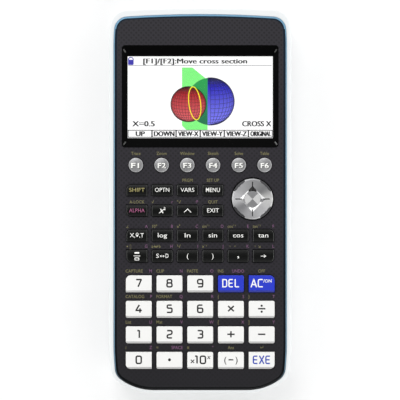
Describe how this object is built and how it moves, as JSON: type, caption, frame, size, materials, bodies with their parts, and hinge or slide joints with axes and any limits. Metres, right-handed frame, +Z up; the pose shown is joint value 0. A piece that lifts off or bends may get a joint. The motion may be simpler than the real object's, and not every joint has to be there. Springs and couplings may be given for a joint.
{
  "type": "graphing calculator",
  "caption": "Handheld graphing calculator: white case with a dark face, colour display under a clear window, round silver and rectangular keys, cursor pad, battery cover and end sockets.",
  "frame": {"origin": "under the middle of the case, on the surface that the rubber feet stand on", "axes": "+X to the right across the keys, +Y along the case towards the screen end, +Z up out of the face"},
  "size_m": [0.089, 0.1886, 0.0186],
  "materials": {
    "face_panel": "fine textured dark moulding",
    "rear_case": "satin white moulding",
    "display_window": "clear acrylic",
    "display": "colour display panel",
    "circuit_board": "solder mask",
    "silicone": "translucent silicone",
    "blue_keys": "satin blue moulding",
    "white_keys": "satin white moulding",
    "silver_keys": "satin plated moulding",
    "dark_keys": "satin black moulding",
    "cell_sleeve": "printed sleeve",
    "contact_plate": "nickel plated",
    "screw_steel": "black zinc",
    "rubber_feet": "matt",
    "black_carrier": "matt"
  },
  "bodies": {
    "case": {"batteries": "cell_sleeve", "battery_contacts": "contact_plate", "case_screws": "screw_steel", "display_module": "display", "display_window": "display_window", "front_case": "face_panel", "key_board": "circuit_board", "key_mat": "silicone", "main_board": "circuit_board", "rear_case": "rear_case", "rubber_feet": "rubber_feet"},
    "battery_cover": {"battery_cover": "rear_case"},
    "cursor_rocker": {"cursor_rocker": "black_carrier"},
    "cursor_pad": {"cursor_pad": "silver_keys"},
    "key_0": {"key_0": "white_keys"},
    "key_1": {"key_1": "white_keys"},
    "key_2": {"key_2": "white_keys"},
    "key_3": {"key_3": "white_keys"},
    "key_4": {"key_4": "white_keys"},
    "key_5": {"key_5": "white_keys"},
    "key_6": {"key_6": "white_keys"},
    "key_7": {"key_7": "white_keys"},
    "key_8": {"key_8": "white_keys"},
    "key_9": {"key_9": "white_keys"},
    "key_ac": {"key_ac": "blue_keys"},
    "key_alpha": {"key_alpha": "dark_keys"},
    "key_arrow": {"key_arrow": "dark_keys"},
    "key_close_bracket": {"key_close_bracket": "dark_keys"},
    "key_comma": {"key_comma": "dark_keys"},
    "key_cos": {"key_cos": "dark_keys"},
    "key_del": {"key_del": "blue_keys"},
    "key_divide": {"key_divide": "white_keys"},
    "key_exe": {"key_exe": "white_keys"},
    "key_exit": {"key_exit": "dark_keys"},
    "key_f1": {"key_f1": "silver_keys"},
    "key_f2": {"key_f2": "silver_keys"},
    "key_f3": {"key_f3": "silver_keys"},
    "key_f4": {"key_f4": "silver_keys"},
    "key_f5": {"key_f5": "silver_keys"},
    "key_f6": {"key_f6": "silver_keys"},
    "key_fraction": {"key_fraction": "dark_keys"},
    "key_ln": {"key_ln": "dark_keys"},
    "key_log": {"key_log": "dark_keys"},
    "key_menu": {"key_menu": "dark_keys"},
    "key_minus": {"key_minus": "white_keys"},
    "key_multiply": {"key_multiply": "white_keys"},
    "key_negative": {"key_negative": "white_keys"},
    "key_open_bracket": {"key_open_bracket": "dark_keys"},
    "key_optn": {"key_optn": "dark_keys"},
    "key_plus": {"key_plus": "white_keys"},
    "key_point": {"key_point": "white_keys"},
    "key_power": {"key_power": "dark_keys"},
    "key_s_d": {"key_s_d": "dark_keys"},
    "key_shift": {"key_shift": "dark_keys"},
    "key_sin": {"key_sin": "dark_keys"},
    "key_square": {"key_square": "dark_keys"},
    "key_tan": {"key_tan": "dark_keys"},
    "key_times_ten": {"key_times_ten": "white_keys"},
    "key_vars": {"key_vars": "dark_keys"},
    "key_x_theta_t": {"key_x_theta_t": "dark_keys"}
  },
  "joints": [
    {"name": "battery_cover_hinge", "type": "hinge", "parent": "case", "child": "battery_cover", "pos_m": [0, -0.0275, 0.0006], "axis": [1, 0, 0], "range_deg": [0, 60]},
    {"name": "cursor_pitch", "type": "hinge", "parent": "case", "child": "cursor_rocker", "pos_m": [0.02552, 0.00054, 0.0167], "axis": [1, 0, 0], "range_deg": [-2.5, 2.5], "stiffness_Nm_per_rad": 0.6, "deforming": ["key_mat"]},
    {"name": "cursor_roll", "type": "hinge", "parent": "cursor_rocker", "child": "cursor_pad", "pos_m": [0.02552, 0.00054, 0.0167], "axis": [0, 1, 0], "range_deg": [-2.5, 2.5], "stiffness_Nm_per_rad": 0.6, "deforming": ["key_mat"]},
    {"name": "key_0_press", "type": "slide", "parent": "case", "child": "key_0", "axis": [0, 0, -1], "range_m": [0, 0.001], "stiffness_N_per_m": 400, "springref_m": -0.0005, "deforming": ["key_mat"]},
    {"name": "key_1_press", "type": "slide", "parent": "case", "child": "key_1", "axis": [0, 0, -1], "range_m": [0, 0.001], "stiffness_N_per_m": 400, "springref_m": -0.0005, "deforming": ["key_mat"]},
    {"name": "key_2_press", "type": "slide", "parent": "case", "child": "key_2", "axis": [0, 0, -1], "range_m": [0, 0.001], "stiffness_N_per_m": 400, "springref_m": -0.0005, "deforming": ["key_mat"]},
    {"name": "key_3_press", "type": "slide", "parent": "case", "child": "key_3", "axis": [0, 0, -1], "range_m": [0, 0.001], "stiffness_N_per_m": 400, "springref_m": -0.0005, "deforming": ["key_mat"]},
    {"name": "key_4_press", "type": "slide", "parent": "case", "child": "key_4", "axis": [0, 0, -1], "range_m": [0, 0.001], "stiffness_N_per_m": 400, "springref_m": -0.0005, "deforming": ["key_mat"]},
    {"name": "key_5_press", "type": "slide", "parent": "case", "child": "key_5", "axis": [0, 0, -1], "range_m": [0, 0.001], "stiffness_N_per_m": 400, "springref_m": -0.0005, "deforming": ["key_mat"]},
    {"name": "key_6_press", "type": "slide", "parent": "case", "child": "key_6", "axis": [0, 0, -1], "range_m": [0, 0.001], "stiffness_N_per_m": 400, "springref_m": -0.0005, "deforming": ["key_mat"]},
    {"name": "key_7_press", "type": "slide", "parent": "case", "child": "key_7", "axis": [0, 0, -1], "range_m": [0, 0.001], "stiffness_N_per_m": 400, "springref_m": -0.0005, "deforming": ["key_mat"]},
    {"name": "key_8_press", "type": "slide", "parent": "case", "child": "key_8", "axis": [0, 0, -1], "range_m": [0, 0.001], "stiffness_N_per_m": 400, "springref_m": -0.0005, "deforming": ["key_mat"]},
    {"name": "key_9_press", "type": "slide", "parent": "case", "child": "key_9", "axis": [0, 0, -1], "range_m": [0, 0.001], "stiffness_N_per_m": 400, "springref_m": -0.0005, "deforming": ["key_mat"]},
    {"name": "key_ac_press", "type": "slide", "parent": "case", "child": "key_ac", "axis": [0, 0, -1], "range_m": [0, 0.001], "stiffness_N_per_m": 400, "springref_m": -0.0005, "deforming": ["key_mat"]},
    {"name": "key_alpha_press", "type": "slide", "parent": "case", "child": "key_alpha", "axis": [0, 0, -1], "range_m": [0, 0.001], "stiffness_N_per_m": 400, "springref_m": -0.0005, "deforming": ["key_mat"]},
    {"name": "key_arrow_press", "type": "slide", "parent": "case", "child": "key_arrow", "axis": [0, 0, -1], "range_m": [0, 0.001], "stiffness_N_per_m": 400, "springref_m": -0.0005, "deforming": ["key_mat"]},
    {"name": "key_close_bracket_press", "type": "slide", "parent": "case", "child": "key_close_bracket", "axis": [0, 0, -1], "range_m": [0, 0.001], "stiffness_N_per_m": 400, "springref_m": -0.0005, "deforming": ["key_mat"]},
    {"name": "key_comma_press", "type": "slide", "parent": "case", "child": "key_comma", "axis": [0, 0, -1], "range_m": [0, 0.001], "stiffness_N_per_m": 400, "springref_m": -0.0005, "deforming": ["key_mat"]},
    {"name": "key_cos_press", "type": "slide", "parent": "case", "child": "key_cos", "axis": [0, 0, -1], "range_m": [0, 0.001], "stiffness_N_per_m": 400, "springref_m": -0.0005, "deforming": ["key_mat"]},
    {"name": "key_del_press", "type": "slide", "parent": "case", "child": "key_del", "axis": [0, 0, -1], "range_m": [0, 0.001], "stiffness_N_per_m": 400, "springref_m": -0.0005, "deforming": ["key_mat"]},
    {"name": "key_divide_press", "type": "slide", "parent": "case", "child": "key_divide", "axis": [0, 0, -1], "range_m": [0, 0.001], "stiffness_N_per_m": 400, "springref_m": -0.0005, "deforming": ["key_mat"]},
    {"name": "key_exe_press", "type": "slide", "parent": "case", "child": "key_exe", "axis": [0, 0, -1], "range_m": [0, 0.001], "stiffness_N_per_m": 400, "springref_m": -0.0005, "deforming": ["key_mat"]},
    {"name": "key_exit_press", "type": "slide", "parent": "case", "child": "key_exit", "axis": [0, 0, -1], "range_m": [0, 0.001], "stiffness_N_per_m": 400, "springref_m": -0.0005, "deforming": ["key_mat"]},
    {"name": "key_f1_press", "type": "slide", "parent": "case", "child": "key_f1", "axis": [0, 0, -1], "range_m": [0, 0.001], "stiffness_N_per_m": 400, "springref_m": -0.0005, "deforming": ["key_mat"]},
    {"name": "key_f2_press", "type": "slide", "parent": "case", "child": "key_f2", "axis": [0, 0, -1], "range_m": [0, 0.001], "stiffness_N_per_m": 400, "springref_m": -0.0005, "deforming": ["key_mat"]},
    {"name": "key_f3_press", "type": "slide", "parent": "case", "child": "key_f3", "axis": [0, 0, -1], "range_m": [0, 0.001], "stiffness_N_per_m": 400, "springref_m": -0.0005, "deforming": ["key_mat"]},
    {"name": "key_f4_press", "type": "slide", "parent": "case", "child": "key_f4", "axis": [0, 0, -1], "range_m": [0, 0.001], "stiffness_N_per_m": 400, "springref_m": -0.0005, "deforming": ["key_mat"]},
    {"name": "key_f5_press", "type": "slide", "parent": "case", "child": "key_f5", "axis": [0, 0, -1], "range_m": [0, 0.001], "stiffness_N_per_m": 400, "springref_m": -0.0005, "deforming": ["key_mat"]},
    {"name": "key_f6_press", "type": "slide", "parent": "case", "child": "key_f6", "axis": [0, 0, -1], "range_m": [0, 0.001], "stiffness_N_per_m": 400, "springref_m": -0.0005, "deforming": ["key_mat"]},
    {"name": "key_fraction_press", "type": "slide", "parent": "case", "child": "key_fraction", "axis": [0, 0, -1], "range_m": [0, 0.001], "stiffness_N_per_m": 400, "springref_m": -0.0005, "deforming": ["key_mat"]},
    {"name": "key_ln_press", "type": "slide", "parent": "case", "child": "key_ln", "axis": [0, 0, -1], "range_m": [0, 0.001], "stiffness_N_per_m": 400, "springref_m": -0.0005, "deforming": ["key_mat"]},
    {"name": "key_log_press", "type": "slide", "parent": "case", "child": "key_log", "axis": [0, 0, -1], "range_m": [0, 0.001], "stiffness_N_per_m": 400, "springref_m": -0.0005, "deforming": ["key_mat"]},
    {"name": "key_menu_press", "type": "slide", "parent": "case", "child": "key_menu", "axis": [0, 0, -1], "range_m": [0, 0.001], "stiffness_N_per_m": 400, "springref_m": -0.0005, "deforming": ["key_mat"]},
    {"name": "key_minus_press", "type": "slide", "parent": "case", "child": "key_minus", "axis": [0, 0, -1], "range_m": [0, 0.001], "stiffness_N_per_m": 400, "springref_m": -0.0005, "deforming": ["key_mat"]},
    {"name": "key_multiply_press", "type": "slide", "parent": "case", "child": "key_multiply", "axis": [0, 0, -1], "range_m": [0, 0.001], "stiffness_N_per_m": 400, "springref_m": -0.0005, "deforming": ["key_mat"]},
    {"name": "key_negative_press", "type": "slide", "parent": "case", "child": "key_negative", "axis": [0, 0, -1], "range_m": [0, 0.001], "stiffness_N_per_m": 400, "springref_m": -0.0005, "deforming": ["key_mat"]},
    {"name": "key_open_bracket_press", "type": "slide", "parent": "case", "child": "key_open_bracket", "axis": [0, 0, -1], "range_m": [0, 0.001], "stiffness_N_per_m": 400, "springref_m": -0.0005, "deforming": ["key_mat"]},
    {"name": "key_optn_press", "type": "slide", "parent": "case", "child": "key_optn", "axis": [0, 0, -1], "range_m": [0, 0.001], "stiffness_N_per_m": 400, "springref_m": -0.0005, "deforming": ["key_mat"]},
    {"name": "key_plus_press", "type": "slide", "parent": "case", "child": "key_plus", "axis": [0, 0, -1], "range_m": [0, 0.001], "stiffness_N_per_m": 400, "springref_m": -0.0005, "deforming": ["key_mat"]},
    {"name": "key_point_press", "type": "slide", "parent": "case", "child": "key_point", "axis": [0, 0, -1], "range_m": [0, 0.001], "stiffness_N_per_m": 400, "springref_m": -0.0005, "deforming": ["key_mat"]},
    {"name": "key_power_press", "type": "slide", "parent": "case", "child": "key_power", "axis": [0, 0, -1], "range_m": [0, 0.001], "stiffness_N_per_m": 400, "springref_m": -0.0005, "deforming": ["key_mat"]},
    {"name": "key_s_d_press", "type": "slide", "parent": "case", "child": "key_s_d", "axis": [0, 0, -1], "range_m": [0, 0.001], "stiffness_N_per_m": 400, "springref_m": -0.0005, "deforming": ["key_mat"]},
    {"name": "key_shift_press", "type": "slide", "parent": "case", "child": "key_shift", "axis": [0, 0, -1], "range_m": [0, 0.001], "stiffness_N_per_m": 400, "springref_m": -0.0005, "deforming": ["key_mat"]},
    {"name": "key_sin_press", "type": "slide", "parent": "case", "child": "key_sin", "axis": [0, 0, -1], "range_m": [0, 0.001], "stiffness_N_per_m": 400, "springref_m": -0.0005, "deforming": ["key_mat"]},
    {"name": "key_square_press", "type": "slide", "parent": "case", "child": "key_square", "axis": [0, 0, -1], "range_m": [0, 0.001], "stiffness_N_per_m": 400, "springref_m": -0.0005, "deforming": ["key_mat"]},
    {"name": "key_tan_press", "type": "slide", "parent": "case", "child": "key_tan", "axis": [0, 0, -1], "range_m": [0, 0.001], "stiffness_N_per_m": 400, "springref_m": -0.0005, "deforming": ["key_mat"]},
    {"name": "key_times_ten_press", "type": "slide", "parent": "case", "child": "key_times_ten", "axis": [0, 0, -1], "range_m": [0, 0.001], "stiffness_N_per_m": 400, "springref_m": -0.0005, "deforming": ["key_mat"]},
    {"name": "key_vars_press", "type": "slide", "parent": "case", "child": "key_vars", "axis": [0, 0, -1], "range_m": [0, 0.001], "stiffness_N_per_m": 400, "springref_m": -0.0005, "deforming": ["key_mat"]},
    {"name": "key_x_theta_t_press", "type": "slide", "parent": "case", "child": "key_x_theta_t", "axis": [0, 0, -1], "range_m": [0, 0.001], "stiffness_N_per_m": 400, "springref_m": -0.0005, "deforming": ["key_mat"]}
  ]
}
